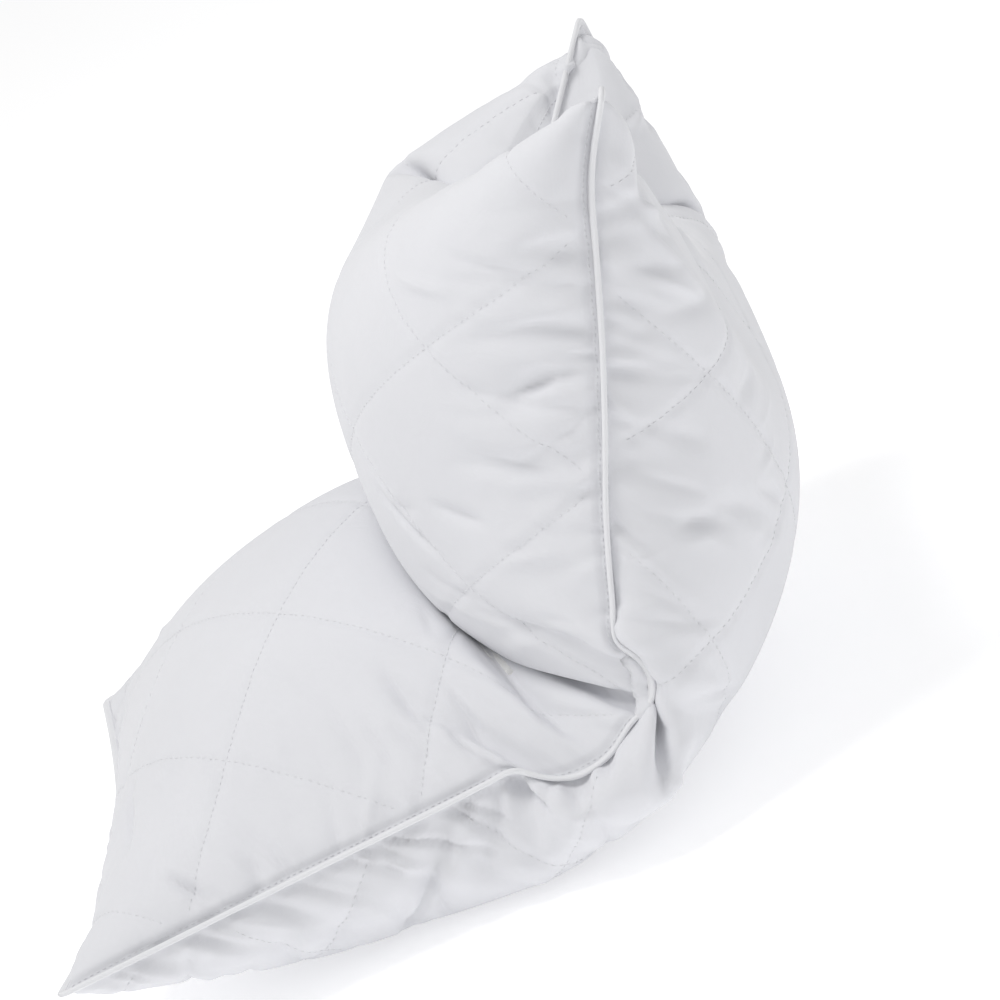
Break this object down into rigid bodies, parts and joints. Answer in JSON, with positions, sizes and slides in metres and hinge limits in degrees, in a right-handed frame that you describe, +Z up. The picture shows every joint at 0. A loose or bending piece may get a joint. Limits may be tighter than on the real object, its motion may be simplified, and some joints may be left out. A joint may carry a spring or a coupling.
{
  "type": "bed pillow",
  "caption": "Soft white bed pillow with diamond quilted faces and a piped edge, folded across its middle with one half standing.",
  "frame": {"origin": "middle of the flat underside of the lower half, on the surface it lies on", "axes": "+X along the pillow towards the fold, +Y across the pillow, +Z up"},
  "size_m": [0.4978, 0.4936, 0.3996],
  "materials": {
    "cover_cloth": "matte",
    "piping_cloth": "matte",
    "wadding_batt": "matte",
    "lining_cloth": "matte",
    "loose_fill": "matte",
    "piping_cord": "matte",
    "sewing_thread": "satin"
  },
  "bodies": {
    "lower_half": {"top_cover_lower": "cover_cloth", "bottom_cover_lower": "cover_cloth", "top_wadding_lower": "wadding_batt", "bottom_wadding_lower": "wadding_batt", "top_lining_lower": "lining_cloth", "bottom_lining_lower": "lining_cloth", "fill_lower": "loose_fill", "piping_sleeve_lower": "piping_cloth", "piping_cord_lower": "piping_cord", "top_quilting_lower": "sewing_thread", "bottom_quilting_lower": "sewing_thread", "edge_stitching_lower": "sewing_thread", "closing_stitching": "sewing_thread"},
    "upper_half": {"top_cover_upper": "cover_cloth", "bottom_cover_upper": "cover_cloth", "top_wadding_upper": "wadding_batt", "bottom_wadding_upper": "wadding_batt", "top_lining_upper": "lining_cloth", "bottom_lining_upper": "lining_cloth", "fill_upper": "loose_fill", "piping_sleeve_upper": "piping_cloth", "piping_cord_upper": "piping_cord", "top_quilting_upper": "sewing_thread", "bottom_quilting_upper": "sewing_thread", "edge_stitching_upper": "sewing_thread"}
  },
  "joints": [
    {"name": "fold", "type": "hinge", "parent": "lower_half", "child": "upper_half", "pos_m": [0.16, 0, 0.084], "axis": [0, -1, 0], "range_deg": [-67, 10]}
  ]
}
